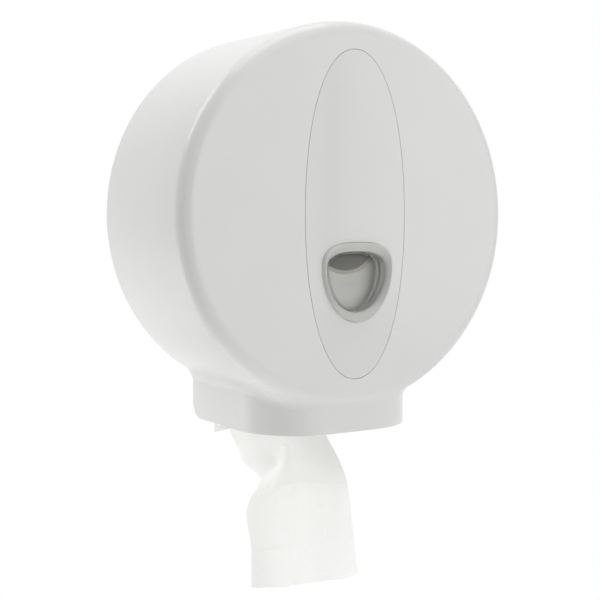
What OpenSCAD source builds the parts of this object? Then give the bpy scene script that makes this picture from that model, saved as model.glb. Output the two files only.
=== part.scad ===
// Wall-mounted dispenser for one jumbo roll of toilet tissue, with a drop-down drum-shaped cover.
// Millimetres, +Z up, the front faces -Y. The origin is on the drum's axis at the wall.
// In the profiles below h is the distance from the wall, so h = -Y.

/* [Case] */
// Outer radius of the drum
case_r = 137.5; // [130:0.5:150]
// Depth from the wall to the flat front face
case_depth = 123; // [120:0.5:135]
// Wall thickness of the moulded cover
wall = 2.6; // [2:0.1:3.2]
// Radius of the rounded rim round the front face
rim_r = 11; // [7:0.5:13]
// Gap between the wall and the cover's rear edge
rear_gap = 0.8; // [0.5:0.1:1.5]

/* [Foot] */
// Half of the foot's width
foot_w = 67; // [62:0.5:72]
// Depth from the wall to the foot's front
foot_depth = 120; // [116:0.5:120]
// Height of the foot's underside below the drum's axis
foot_drop = 154.7; // [152:0.1:160]
// Radius of the foot's front corners, seen from above
foot_corner = 48; // [40:1:58]
// Radius of the hollow collar where drum and foot meet
collar_r = 16; // [8:1:18]
// Width of the ledge round the mouth, measured from the outside
mouth_ledge = 12; // [10:0.5:14]

/* [Centre panel] */
// Half of the panel's width
panel_w = 42.2; // [38:0.1:48]
// Half of the panel's height
panel_h = 116.5; // [110:0.5:119]
// Depth of the recess that the panel is laid in
panel_recess = 1.4; // [1:0.1:1.8]
// How far the panel swells in front of the face at its middle
panel_crown = 2.4; // [1.5:0.1:3]
// Width of the joint line round the panel
panel_gap = 0.4; // [0.2:0.05:0.6]
// Thickness of the pad that backs the panel inside the cover
pad_t = 1.4; // [1:0.1:1.8]

/* [Window] */
// Half of the window frame's width
window_w = 29.4; // [26:0.1:32]
// Height of the frame's top edge above the drum's axis
window_top = -19.8; // [-22:0.1:-18]
// Height of the frame's lower tip above the drum's axis
window_tip = -76.7; // [-82:0.1:-72]
// How far the frame stands out of the face
bezel_proud = 4.6; // [4:0.1:5.5]
// Depth of the dish in the lens, from the frame's crest
dish_depth = 10.2; // [9:0.1:10.7]
// Thickness of the retaining plate behind the window
retainer_t = 1.8; // [1.4:0.1:2.2]

/* [Hinge] */
// Radius of the foot's rear lower corner, which turns about the hinge axis
heel_r = 12; // [10:0.5:13]
// Radius of the hinge pins
hinge_pin_r = 2.5; // [2:0.1:3]
// Radius of the round eyes on cover and back plate
hinge_eye_r = 6; // [5:0.1:7]
// Running clearance round the pins, on the radius
pin_play = 0.05; // [0.02:0.01:0.1]
// Thickness of the ears on the back plate
ear_t = 9; // [6:0.5:11]

/* [Back plate] */
// Thickness of the plate
plate_t = 3; // [2.5:0.1:3.5]
// Gap between the plate's edge and the inside of the cover
plate_gap = 1.7; // [1.4:0.1:2.5]
// Height of the stiffening ribs
rib_h = 5; // [3:0.5:6]
// Thickness of the stiffening ribs
rib_t = 2; // [1.5:0.1:3]
// Height of the locating rim along the upper edge
locator_h = 9; // [6:0.5:12]
// Half of the spacing of the four wall screws, both ways
wall_hole_at = 62; // [50:1:66]
// Radius of the wall screw holes
wall_hole_r = 2.75; // [2:0.05:3.5]

/* [Axle and mandrel] */
// Radius of the fixed axle
axle_r = 8; // [6:0.5:9]
// Radius of the axle's fixing flange
axle_flange_r = 24; // [22:0.5:28]
// Radius of the turning mandrel that carries the roll
mandrel_r = 15; // [15:0.5:20]
// Height of the lip that keeps the roll on the mandrel
mandrel_lip = 3; // [2:0.1:4]
// Running clearance between axle and mandrel, on the radius
axle_play = 0.08; // [0.05:0.01:0.1]

/* [Roll] */
// Outer radius of the full roll
roll_r = 100; // [80:1:105]
// Distance from the roll's front end to the front face of the cover
roll_front_gap = 13; // [13:0.5:18]
// Inner radius of the cardboard core
core_r = 28; // [28:0.5:38]
// Wall thickness of the core
core_t = 2; // [1:0.1:3]
// Gap between the hanging core and the mandrel
core_gap = 0.3; // [0.2:0.05:0.4]

/* [Lock] */
// Distance of the lock's axis from the wall
lock_from_wall = 16; // [16:0.1:17]
// Radius of the lock's housing
lock_r = 8; // [7:0.1:8.2]
// Radius of the keyed plug
plug_r = 5.5; // [4.5:0.1:6]
// Outer radius of the hook on the cam
hook_r = 12.5; // [12:0.1:12.5]
// Radius of the post that the hook goes behind
post_r = 1.8; // [1.4:0.1:1.9]

/* [Tear strips] */
// Spacing of the teeth
tooth_pitch = 5; // [4:0.5:7]
// Length of the teeth
tooth_l = 5; // [3:0.5:6]
// Thickness of the strips
strip_t = 1.5; // [1:0.1:2]

/* [Paper tail] */
// Thickness of the tail, which stands for two loose plies
tail_t = 0.8; // [0.6:0.1:1.2]
// How far the tail hangs below the foot
tail_drop = 120; // [80:1:160]

/* [Hidden] */
$fn = 96;
eps = 0.05;
big = 400;
fit = 0.05;

foot_z = -foot_drop;
face_h = case_depth;
inner_h = case_depth - wall;
inner_r = case_r - wall;
pad_h = inner_h - pad_t;
hinge_h = rear_gap + heel_r;
hinge_z = foot_z + heel_r;

plate_r = inner_r - plate_gap;
tab_w = foot_w - wall - 1;
tab_z = foot_z + 4.7;
rib_top = plate_t + rib_h;
hub_h = 9;
flange_t = 3;
post_h = hub_h + flange_t;

// The roll hangs on the mandrel, with its rear face just in front of the mandrel's flange.
mandrel_start = post_h + 2.2;
mandrel_flange_t = 2.2;
roll_start = mandrel_start + mandrel_flange_t + 0.6;
roll_end = case_depth - roll_front_gap;
roll_width = roll_end - roll_start;
roll_z = mandrel_r + core_gap - core_r;
lip_t = 2.8;
mandrel_end = roll_end + 0.6 + lip_t;
axle_end = mandrel_end + 0.2;
cap_t = 2;
cap_head = 1.6;

// The shield-shaped outline is widest at shield_waist of its height, measured from the top.
shield_waist = 0.307;
shield_n_top = 2.7;
shield_n_tip = 1.95;
shield_steps = 56;

screw_r = 2;
screw_head_r = 3.4;
small_screw_r = 1.4;
small_head_r = 2.7;

white = "#e4e4e2";
smoke = "#8d8f88";
steel = "#b9bcc0";
zinc = "#a7a9ab";

// ---------------------------------------------------------------- placing helpers
// A flat outline in x and z, from distance h0 to distance h1 in front of the wall.
module forward(h0, h1) {
    translate([0, -h0, 0]) rotate([90, 0, 0]) linear_extrude(h1 - h0) children();
}

// A flat outline in x and h, from height z0 to height z1.
module upward(z0, z1) {
    translate([0, 0, z0]) linear_extrude(z1 - z0) mirror([0, 1, 0]) children();
}

// A flat outline in h and z, from x0 to x1.
module across(x0, x1) {
    translate([x0, 0, 0]) rotate([90, 0, 90]) linear_extrude(x1 - x0) mirror([1, 0, 0]) children();
}

// A profile in radius and h, turned round the line x = 0, z = z.
module turned(z = 0) {
    translate([0, 0, z]) rotate([90, 0, 0]) rotate_extrude() children();
}

// A round bar from h0 to h1 at x, z.
module bar(r, h0, h1, x = 0, z = 0) {
    translate([x, -h0, z]) rotate([90, 0, 0]) cylinder(r = r, h = h1 - h0);
}

module ring_2d(r0, r1) {
    difference() {
        circle(r1);
        circle(r0);
    }
}

// A pan-head screw whose shank runs down from z = 0 and whose head stands above it.
module screw(r, head_r, length, head_h) {
    difference() {
        union() {
            translate([0, 0, -length]) cylinder(r = r, h = length + eps);
            cylinder(r1 = head_r, r2 = head_r * 0.8, h = head_h);
        }
        for (turn = [0, 90])
            rotate([0, 0, turn]) translate([-head_r * 0.5, -0.35, head_h * 0.4]) cube([head_r, 0.7, head_h]);
    }
}

// The same screw, driven toward the wall, with the underside of its head at distance h.
module screw_to_wall(x, z, h, length, r, head_r, head_h) {
    translate([x, -h, z]) rotate([90, 0, 0]) screw(r, head_r, length, head_h);
}

// The same screw, driven toward the front.
module screw_to_front(x, z, h, length, r, head_r, head_h) {
    translate([x, -h, z]) rotate([-90, 0, 0]) screw(r, head_r, length, head_h);
}

// ---------------------------------------------------------------- lofts
function signed_power(v, n) = sign(v) * pow(abs(v), n);

// One point of the shield outline, drawn in by side, top and tip, at distance h.
function shield_point(t, side, top, tip, h) =
    let (
        z_top = window_top - top,
        z_tip = window_tip + tip,
        z_wide = z_top - (z_top - z_tip) * shield_waist,
        n = sin(t) >= 0 ? shield_n_top : shield_n_tip,
        reach = sin(t) >= 0 ? z_top - z_wide : z_wide - z_tip
    )
    [(window_w - side) * signed_power(cos(t), 2 / n), -h, z_wide + reach * signed_power(sin(t), 2 / n)];

function shield_ring(s) = [
    for (i = [0:shield_steps - 1]) shield_point(360 * i / shield_steps, s[0], s[1], s[2], s[3])
];

// The outline as a flat shape in x and z.
module shield_2d(inset) {
    polygon([for (p = shield_ring([inset, inset, inset, 0])) [p[0], p[2]]]);
}

// Triangles over one end ring that starts at point first and has n points. Point j lies opposite
// point n - 1 - j, so the triangles also fit a long thin ring.
function end_triangles(first, n) = [
    for (j = [0:n / 2 - 2])
        each [[first + j, first + j + 1, first + n - 2 - j], [first + j, first + n - 2 - j, first + n - 1 - j]]
];

function turned_over(faces) = [for (f = faces) [f[0], f[2], f[1]]];

// Skins a list of rings with as many points each, an even number. A closed skin joins the last ring
// to the first.
module skin(rings, closed = false) {
    n = len(rings[0]);
    m = len(rings);
    last = closed ? m - 1 : m - 2;
    sides = [
        for (i = [0:last], j = [0:n - 1])
            let (a = i * n + j, b = i * n + (j + 1) % n, c = ((i + 1) % m) * n + j, d = ((i + 1) % m) * n + (j + 1) % n)
            each [[a, d, b], [a, c, d]]
    ];
    ends = closed ? [] : concat(end_triangles(0, n), turned_over(end_triangles((m - 1) * n, n)));
    polyhedron(points = [for (ring = rings) each ring], faces = concat(sides, ends), convexity = 6);
}

// ---------------------------------------------------------------- the cover's outer form
module drum(r, h0, h1, rim) {
    turned() {
        translate([0, h0]) square([r, h1 - h0 - rim]);
        translate([0, h0]) square([r - rim, h1 - h0]);
        translate([r - rim, h1 - rim]) circle(rim);
    }
}

// The foot seen from above, drawn in by inset, from distance h0.
module foot_plan(inset, h0) {
    w = foot_w - inset;
    d = foot_depth - inset;
    r = foot_corner - inset;
    translate([-w, h0]) square([2 * w, d - r - h0]);
    translate([r - w, h0]) square([2 * (w - r), d - h0]);
    for (side = [-1, 1])
        translate([side * (w - r), d - r]) circle(r);
}

// The drum, the foot and the collar are drawn from behind the wall plane, and one cut trims their rear edges.
drawn_from = -2;

// The foot seen from the side, with its rear lower corner rounded about the hinge axis.
module foot_side() {
    translate([hinge_h, foot_z]) square([foot_depth, foot_drop - case_r / 2]);
    translate([drawn_from, hinge_z]) square([foot_depth, foot_drop - heel_r - case_r / 2]);
    translate([hinge_h, hinge_z]) circle(heel_r);
}

module foot_block() {
    intersection() {
        upward(foot_z, -case_r * 0.7) foot_plan(0, drawn_from);
        across(-foot_w - 1, foot_w + 1) foot_side();
    }
}

// The collar is the track of a ball that rolls in the crease between drum and foot. It runs along the
// side, round the front corner and across the front, where the ball rests on the drum's rounded rim.
collar_turns = [0:9:90];
collar_bite = 0.12;
collar_steps = 8;
rim_path_r = case_r - rim_r;
rim_path_h = case_depth - rim_r;

function unit(v) = v / norm(v);
function blend_unit(a, b, t) =
    let (g = acos(a * b))
    (sin((1 - t) * g) * a + sin(t * g) * b) / sin(g);

// Distance of the ball's centre from the drum's axis, with the centre at distance h from the wall.
function ball_path_r(h) =
    h <= rim_path_h ? case_r + collar_r
    : rim_path_r + sqrt(pow(rim_r + collar_r, 2) - pow(h - rim_path_h, 2));

// The part of the flat front, from 1 at its right end to -1 at its left end, where a section stands.
front_spots = [1, 0.5, 0, -0.5, -1];

function collar_section(turn, h_straight, side, spot = 1) =
    let (
        x = (foot_w - foot_corner) * spot + (foot_corner + collar_r) * cos(turn),
        h = h_straight + (foot_corner + collar_r) * sin(turn),
        path_r = ball_path_r(h),
        z = -sqrt(path_r * path_r - x * x),
        nearest = h <= rim_path_h ? 0 : rim_path_r / path_r,
        to_foot = [-cos(turn), sin(turn), 0],
        to_drum = unit(h <= rim_path_h ? [-x, 0, -z] : [x * (nearest - 1), h - rim_path_h, z * (nearest - 1)]),
        half = acos(to_foot * to_drum) / 2,
        arc = [
            for (i = [0:collar_steps])
                [x, -h, z] + (collar_r + collar_bite) * blend_unit(to_foot, to_drum, i / collar_steps)
        ],
        corner = [x, -h, z] + (collar_r / cos(half) + 1.6) * blend_unit(to_foot, to_drum, 0.5)
    )
    [for (p = concat(arc, [corner])) [side * p[0], p[1], p[2]]];

module collar() {
    h_corner = foot_depth - foot_corner;
    skin(concat(
        [collar_section(0, drawn_from, 1)],
        [for (turn = collar_turns) if (turn < 90) collar_section(turn, h_corner, 1)],
        [for (spot = front_spots) collar_section(90, h_corner, 1, spot)],
        [for (turn = collar_turns) if (turn > 0) collar_section(90 - turn, h_corner, -1)],
        [collar_section(0, drawn_from, -1)]
    ));
}

// ---------------------------------------------------------------- the cover
retainer_spots = [[-33, -23], [33, -23], [-25, -67], [25, -67]];
retainer_edge = 5;
retainer_h = pad_h - 2.3;
hook_axis_z = case_r - 20.5;
lock_top = case_r - 0.3;
lock_boss_r = lock_r + 2.5;
lock_boss_z = hook_axis_z + 7;
eye_x = foot_w - mouth_ledge;
strip_spots = [0.3 * foot_depth, foot_depth - foot_corner + 11];

// The panel's outline is a superellipse, a little fuller at its ends than an ellipse.
oval_steps = 120;
oval_n = 2.14;

// One ring of the oval, grown outward by grow, drawn in to the share k, at distance h.
function oval_ring(grow, k, h) = [
    for (i = [0:oval_steps - 1])
        let (a = 360 * i / oval_steps)
        [
            k * (panel_w + grow) * signed_power(cos(a), 2 / oval_n),
            -h,
            k * (panel_h + grow) * signed_power(sin(a), 2 / oval_n)
        ]
];

module panel_oval(grow, h0, h1) {
    forward(h0, h1) polygon([for (p = oval_ring(grow, 1, 0)) [p[0], p[2]]]);
}

module cover_shell() {
    difference() {
        union() {
            drum(case_r, drawn_from, case_depth, rim_r);
            foot_block();
            collar();
        }
        forward(drawn_from - 1, rear_gap) square(3 * case_r, center = true);
        drum(inner_r, drawn_from - 1, inner_h, rim_r - wall);
        upward(foot_z + wall, -case_r * 0.7) foot_plan(wall, drawn_from - 1);
        upward(foot_z - 1, foot_z + wall + eps) foot_plan(mouth_ledge, drawn_from - 1);
        // The ledge stops short of the hinge, so that the open cover clears the back plate.
        translate([wall - foot_w, -hinge_h - heel_r, foot_z - 1])
            cube([2 * (foot_w - wall), hinge_h + heel_r + 1, wall + 1 + eps]);
    }
}

module front_cover() {
    color(white)
    difference() {
        union() {
            cover_shell();
            panel_oval(4, pad_h, inner_h + eps);
            for (spot = retainer_spots)
                bar(4, retainer_h, pad_h + eps, spot[0], spot[1]);
            for (side = [-1, 1])
                translate([side > 0 ? eye_x : -foot_w + wall - eps, -hinge_h, hinge_z])
                    rotate([0, 90, 0]) cylinder(r = hinge_eye_r, h = foot_w - wall + eps - eye_x);
            translate([0, -lock_from_wall, lock_boss_z]) cylinder(r = lock_boss_r, h = inner_r + 1 - lock_boss_z);
        }
        panel_oval(panel_gap, face_h - panel_recess, face_h + 1);
        forward(retainer_h - 1, face_h + 1) shield_2d(2.3);
        for (spot = retainer_spots)
            bar(small_screw_r + fit, retainer_h - 1, inner_h, spot[0], spot[1]);
        for (side = [-1, 1])
            translate([side > 0 ? eye_x - 1 : -foot_w + wall + 2, -hinge_h, hinge_z])
                rotate([0, 90, 0]) cylinder(r = hinge_pin_r + pin_play, h = foot_w - wall - 1 - eye_x);
        translate([0, -lock_from_wall, lock_boss_z - 1]) cylinder(r = lock_r + fit, h = case_r);
        for (side = [-1, 1], h = strip_spots)
            translate([side * strip_screw_x, -h, foot_z - 1]) cylinder(r = small_screw_r + fit, h = wall + 2);
    }
}

// The panel's edge lies flush with the face, and its front swells into a shallow dome.
dome_shares = [1, 0.94, 0.87, 0.79, 0.7, 0.6, 0.48, 0.34, 0.18];

function dome_h(k) = face_h + panel_crown * (1 - pow(k, 3));

module centre_panel() {
    color(white)
    difference() {
        skin(concat(
            [oval_ring(0, 1, face_h - panel_recess + fit)],
            [for (k = dome_shares) oval_ring(0, k, dome_h(k))]
        ));
        forward(face_h - 4, face_h + 4) shield_2d(-panel_gap / 4);
    }
}

// ---------------------------------------------------------------- the window
bezel_back = pad_h - 0.4;
bezel_front = face_h + bezel_proud;
flange_h = face_h - panel_recess + fit;

// Each line holds how far the section is drawn in at the sides, the top and the tip, and its distance h.
bezel_sections = [
    [2.6, 2.6, 2.6, bezel_back],
    [2.6, 2.6, 2.6, flange_h],
    [0, 0, 0, flange_h],
    [0, 0, 0, face_h + panel_crown * 0.6],
    [0.2, 0.2, 0.2, bezel_front - 1.2],
    [0.8, 0.9, 0.9, bezel_front - 0.3],
    [1.6, 2.2, 2.2, bezel_front],
    [2.9, 4.6, 4.8, bezel_front - 1.2],
    [3.8, 6.5, 6.7, bezel_front - 2.9],
    [4.5, 7.3, 7.5, face_h - 1],
    [4.5, 7.3, 7.5, bezel_back]
];

module window_bezel() {
    color(smoke, 0.8) skin([for (s = bezel_sections) shield_ring(s)], closed = true);
}

dish_h = bezel_front - dish_depth;
lens_flange_t = 1.5;
lens_flange_h = bezel_back - 0.1;
lens_sections = [
    [10.2, 8.4, 8.9, dish_h - 1.6],
    [8.2, 7.9, 8.1, lens_flange_h - lens_flange_t],
    [2.9, 2.9, 2.9, lens_flange_h - lens_flange_t],
    [2.9, 2.9, 2.9, lens_flange_h],
    [4.8, 7.6, 7.8, lens_flange_h],
    [4.8, 7.6, 7.8, face_h + 0.8],
    [5.6, 8.0, 8.2, face_h + 0.9],
    [7.2, 8.3, 8.5, face_h - 2.2],
    [9.2, 8.7, 8.9, dish_h + 1.6],
    [11.6, 9.8, 10.2, dish_h + 0.3],
    [16.6, 15.0, 16.0, dish_h]
];

module window_lens() {
    color(smoke, 0.5) skin([for (s = lens_sections) shield_ring(s)]);
}

module window_retainer() {
    back = retainer_h - retainer_t;
    color(zinc)
    difference() {
        forward(back, retainer_h - fit) {
            hull()
                for (spot = retainer_spots)
                    translate(spot) circle(retainer_edge, $fn = 32);
        }
        forward(back - 1, retainer_h + 1) shield_2d(7);
        for (spot = retainer_spots)
            bar(small_screw_r + 0.1, back - 1, retainer_h + 1, spot[0], spot[1]);
    }
}

module retainer_screw(i) {
    spot = retainer_spots[i];
    color(steel) screw_to_front(spot[0], spot[1], retainer_h - retainer_t, retainer_t + 3.2, small_screw_r, small_head_r, 1.4);
}

// ---------------------------------------------------------------- the lock
plug_tail = 5;
cam_t = 2.5;
cam_hub_r = 4.9;
hook_gap = 0.5;
post_from_axis = hook_r - 3 - hook_gap - post_r;
clip_z = lock_boss_z - 1.1;
housing_z = hook_axis_z + 3.5;

// Stands children on the lock's axis.
module at_lock(z) {
    translate([0, -lock_from_wall, z]) children();
}

module lock_housing() {
    color(steel)
    difference() {
        at_lock(housing_z) cylinder(r = lock_r, h = lock_top - housing_z);
        at_lock(housing_z - 1) cylinder(r = plug_r + 0.06, h = case_r);
        at_lock(clip_z) difference() {
            cylinder(r = lock_r + 1, h = 1.1);
            translate([0, 0, -1]) cylinder(r = lock_r - 0.9, h = 4);
        }
    }
}

// A horseshoe clip in the housing's groove holds the lock up against the boss.
module lock_clip() {
    color(steel)
    at_lock(clip_z + fit)
        linear_extrude(1)
            difference() {
                circle(lock_r + 2.2);
                circle(lock_r - 0.85);
                translate([-(lock_r - 0.85), -case_r]) square([2 * (lock_r - 0.85), case_r]);
            }
}

module lock_plug() {
    color(zinc)
    difference() {
        union() {
            at_lock(housing_z - 0.4) cylinder(r = plug_r, h = lock_top - housing_z + 0.2);
            at_lock(hook_axis_z) translate([-plug_tail / 2, -plug_tail / 2, 0]) cube([plug_tail, plug_tail, 3.2]);
        }
        at_lock(lock_top - 4) translate([-3.2, -0.6, 0]) cube([6.4, 1.2, 5]);
        at_lock(hook_axis_z - 1) cylinder(r = 1.3, h = 9);
    }
}

// The hook is an arc round the lock's axis, so that it slides in behind the post. At rest it points
// away to the right, and a quarter turn takes it behind the post.
module lock_cam() {
    color(steel)
    at_lock(hook_axis_z)
        linear_extrude(cam_t)
            difference() {
                union() {
                    circle(cam_hub_r);
                    intersection() {
                        ring_2d(hook_r - 3, hook_r);
                        polygon([[0, 0], 30 * [cos(-62), sin(-62)], 40 * [cos(-5), sin(-5)], 30 * [cos(62), sin(62)]]);
                    }
                    intersection() {
                        circle(hook_r);
                        rotate(-56) translate([2, -2.4]) square([hook_r, 4.8]);
                    }
                }
                translate([-plug_tail / 2 - fit, -plug_tail / 2 - fit])
                    square(plug_tail + 2 * fit);
            }
}

module cam_screw() {
    color(steel) at_lock(hook_axis_z - fit) mirror([0, 0, 1]) screw(1.25, 3.4, 7, 1.6);
}

strike_screw_x = 7;
strike_z = hook_axis_z - 2;
strike_screw_z = strike_z - 11;
strike_t = 1.6;

module lock_strike() {
    color(steel)
    difference() {
        union() {
            translate([-12, -plate_t - strike_t, strike_z - 17]) cube([24, strike_t, 17]);
            translate([-7, -lock_from_wall + post_from_axis - post_r - 0.7, strike_z - strike_t])
                cube([14, lock_from_wall - post_from_axis + post_r + 0.7 - plate_t, strike_t]);
            at_lock(strike_z - eps) translate([0, post_from_axis, 0]) cylinder(r = post_r, h = 5 + eps);
            across(-1, 1)
                polygon([
                    [plate_t + strike_t / 2, strike_z - 8],
                    [plate_t + strike_t / 2, strike_z - strike_t / 2],
                    [lock_from_wall - post_from_axis + post_r, strike_z - strike_t / 2]
                ]);
        }
        for (side = [-1, 1])
            bar(1.6, 0, 20, side * strike_screw_x, strike_screw_z);
    }
}

module strike_screw(side) {
    color(steel)
        screw_to_wall(side * strike_screw_x, strike_screw_z, plate_t + strike_t, 4, 1.5, small_head_r, 1.5);
}

// ---------------------------------------------------------------- tear strips
strip_w = 5.5;
strip_screw_x = eye_x + strip_w / 2;
strip_start = hinge_h + heel_r + 2;
strip_teeth = floor((foot_depth - foot_corner + 20 - strip_start) / tooth_pitch);

module tear_strip(side) {
    tips = eye_x - tooth_l;
    length = strip_teeth * tooth_pitch;
    color(steel)
    mirror([side < 0 ? 1 : 0, 0, 0])
    difference() {
        upward(foot_z + wall, foot_z + wall + strip_t)
            translate([0, strip_start])
                polygon(concat(
                    [[eye_x + strip_w, 0]],
                    [for (i = [0:strip_teeth - 1]) each [[eye_x, i * tooth_pitch], [tips, (i + 0.5) * tooth_pitch]]],
                    [[eye_x, length], [eye_x + strip_w, length]]
                ));
        for (h = strip_spots)
            translate([strip_screw_x, -h, foot_z]) cylinder(r = small_screw_r + 0.1, h = 10);
    }
}

module tear_screw(side, i) {
    color(steel)
        translate([side * strip_screw_x, -strip_spots[i], foot_z + wall + strip_t])
            screw(small_screw_r, small_head_r, wall + strip_t - 0.4, 1.4);
}

// ---------------------------------------------------------------- back plate and hinge
ear_x = eye_x - 0.5 - ear_t;
axle_screw_at = axle_flange_r - 5;

module back_plate() {
    color(white)
    difference() {
        union() {
            forward(0, plate_t) {
                circle(plate_r);
                translate([-tab_w, tab_z]) square([2 * tab_w, plate_r * 0.8]);
            }
            forward(0, plate_t + locator_h)
                difference() {
                    ring_2d(plate_r - rib_t, plate_r);
                    translate([-big / 2, -big]) square([big, big]);
                    translate([-lock_boss_r - 3, 0]) square([2 * lock_boss_r + 6, big]);
                }
            bar(axle_flange_r, 0, hub_h);
            forward(0, rib_top) ring_2d(plate_r * 0.58, plate_r * 0.58 + rib_t);
            for (i = [0:7])
                rotate([0, 22.5 + i * 45, 0])
                    translate([axle_flange_r - 2, -rib_top, -rib_t / 2]) cube([plate_r * 0.9 - axle_flange_r, rib_top, rib_t]);
            for (x = [-1, 1], z = [-1, 1])
                bar(9, 0, plate_t + 2, x * wall_hole_at, z * wall_hole_at);
            for (side = [-1, 1])
                across(side > 0 ? ear_x : -ear_x - ear_t, side > 0 ? ear_x + ear_t : -ear_x) {
                    translate([hinge_h, hinge_z]) circle(hinge_eye_r);
                    translate([plate_t - 1, hinge_z - hinge_eye_r]) square([hinge_h - plate_t + 1, 2 * hinge_eye_r]);
                }
        }
        for (x = [-1, 1], z = [-1, 1])
            bar(wall_hole_r, -1, 20, x * wall_hole_at, z * wall_hole_at);
        for (i = [0:2])
            rotate([0, i * 120, 0]) bar(screw_r + fit, 3, 20, 0, axle_screw_at);
        for (side = [-1, 1])
            bar(1.55, -1, 20, side * strike_screw_x, strike_screw_z);
        translate([-big / 2, -hinge_h, hinge_z]) rotate([0, 90, 0]) cylinder(r = hinge_pin_r + 0.01, h = big);
    }
}

// The pins are driven into the ears from the middle and turn freely in the cover's eyes.
module hinge_pin(side) {
    length = ear_t + 0.5 + foot_w - wall - eye_x - 3;
    color(steel)
    translate([side * ear_x, -hinge_h, hinge_z]) rotate([0, side * 90, 0]) {
        cylinder(r = hinge_pin_r, h = length);
        translate([0, 0, -1.6]) cylinder(r = hinge_pin_r + 1.2, h = 1.6);
    }
}

// ---------------------------------------------------------------- axle and mandrel
module axle_post() {
    color(zinc)
    difference() {
        union() {
            bar(axle_flange_r, hub_h, post_h);
            bar(axle_r, hub_h, axle_end);
        }
        for (i = [0:2])
            rotate([0, i * 120, 0]) bar(screw_r + 0.1, 0, 20, 0, axle_screw_at);
        bar(screw_r + fit, axle_end - 18, axle_end + 1);
    }
}

module axle_screw(i) {
    color(steel)
        rotate([0, i * 120, 0])
            screw_to_wall(0, axle_screw_at, post_h, 8, screw_r, screw_head_r, 1.8);
}

module thrust_washer() {
    color("#3c3c3c") forward(post_h, post_h + 0.8) ring_2d(axle_r + 0.1, axle_r + 6);
}

// The waved washer presses on the mandrel's end, so that the roll doesn't run on.
wave_steps = 48;
module wave_washer() {
    lowest = post_h + 0.85;
    t = 0.3;
    swing = (mandrel_start - lowest - t - 0.1) / 2;
    color(steel)
        skin([
            for (i = [0:wave_steps - 1])
                let (a = 360 * i / wave_steps, h = lowest + swing * (1 + sin(3 * a)), c = cos(a), s = sin(a))
                [for (q = [[axle_r + 0.4, 0], [axle_r + 0.4, t], [axle_r + 5.4, t], [axle_r + 5.4, 0]])
                    [q[0] * c, -h - q[1], q[0] * s]]
        ], closed = true);
}

fins = 6;
fin_set_back = 1.5;
module mandrel() {
    shell = 2.2;
    sleeve = 2.4;
    color("#d8d8d6") {
        difference() {
            union() {
                forward(mandrel_start, mandrel_end) ring_2d(mandrel_r - shell, mandrel_r);
                forward(mandrel_start, mandrel_end) ring_2d(axle_r + axle_play, axle_r + axle_play + sleeve);
                for (i = [0:fins - 1])
                    rotate([0, i * 360 / fins, 0])
                        translate([axle_r + 1, fin_set_back - mandrel_end, -0.9])
                            cube([mandrel_r - shell / 2 - axle_r - 1, mandrel_end - mandrel_start - 2 * fin_set_back, 1.8]);
                forward(mandrel_start, mandrel_start + mandrel_flange_t) ring_2d(mandrel_r - shell, mandrel_r + 4);
                forward(mandrel_end - lip_t, mandrel_end) ring_2d(mandrel_r - shell, mandrel_r + mandrel_lip);
            }
            bar(axle_r + axle_play, mandrel_start - 1, mandrel_end + 1);
        }
    }
}

module axle_cap() {
    color(zinc)
    difference() {
        translate([0, -axle_end, 0]) rotate([90, 0, 0]) cylinder(r1 = axle_r + 3, r2 = axle_r + 2.2, h = cap_t);
        bar(screw_r + 0.1, axle_end - 1, axle_end + cap_t + 1);
    }
}

module cap_screw() {
    color(steel) screw_to_wall(0, 0, axle_end + cap_t, 16, screw_r, screw_head_r, cap_head);
}

// ---------------------------------------------------------------- the roll
module core_tube() {
    color("#a68a63") translate([0, 0, roll_z]) forward(roll_start, roll_end) ring_2d(core_r, core_r + core_t);
}

module paper_roll() {
    inner = core_r + core_t + fit;
    soft = 1;
    color("#f4f4f0")
    turned(roll_z)
        polygon([
            [inner, roll_start],
            [roll_r - soft, roll_start],
            [roll_r, roll_start + soft],
            [roll_r, roll_end - soft],
            [roll_r - soft, roll_end],
            [inner, roll_end]
        ]);
}

// The tail leaves the left side of the roll edge-on, goes down through the mouth and turns to face the
// front as it hangs. Each line holds the left edge's x, h, z, the right edge's x, h, z, and the swell
// between the edges toward the front.
mouth_z = foot_z;
tail_lines = [
    [-87.2, 0, -64, -87.2, 93, -64, 0],
    [-67, 1, -98, -64, 92, -98, 1],
    [-50, 4, -136, -28, 90, -134, 3],
    [-43, -1, mouth_z - tail_drop * 0.09, -14, 89, mouth_z - tail_drop * 0.03, 4],
    [-38, 3, mouth_z - tail_drop * 0.21, -2, 81, mouth_z - tail_drop * 0.14, 7],
    [-36, 11, mouth_z - tail_drop * 0.30, 11, 71, mouth_z - tail_drop * 0.26, 10],
    [-31, 23, mouth_z - tail_drop * 0.39, 21, 63, mouth_z - tail_drop * 0.38, 11],
    [-44, 33, mouth_z - tail_drop * 0.46, 27, 57, mouth_z - tail_drop * 0.49, 10],
    [-50, 37, mouth_z - tail_drop * 0.55, 31, 54, mouth_z - tail_drop * 0.60, 9],
    [-47.5, 39, mouth_z - tail_drop * 0.75, 35, 53, mouth_z - tail_drop * 0.81, 8],
    [-47, 39, mouth_z - tail_drop, 38.5, 52, mouth_z - tail_drop, 7]
];
tail_cut = 93;
tail_between = 3;
tail_across = 14;

function smooth_line(a, b, c, d, t) =
    b + 0.5 * t * ((c - a) + t * ((2 * a - 5 * b + 4 * c - d) + t * (3 * b - a - 3 * c + d)));

function tail_line(v) =
    let (
        top = len(tail_lines) - 1,
        i = min(floor(v), top - 1),
        a = tail_lines[max(i - 1, 0)],
        d = tail_lines[min(i + 2, top)]
    )
    smooth_line(a, tail_lines[i], tail_lines[i + 1], d, v - i);

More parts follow.
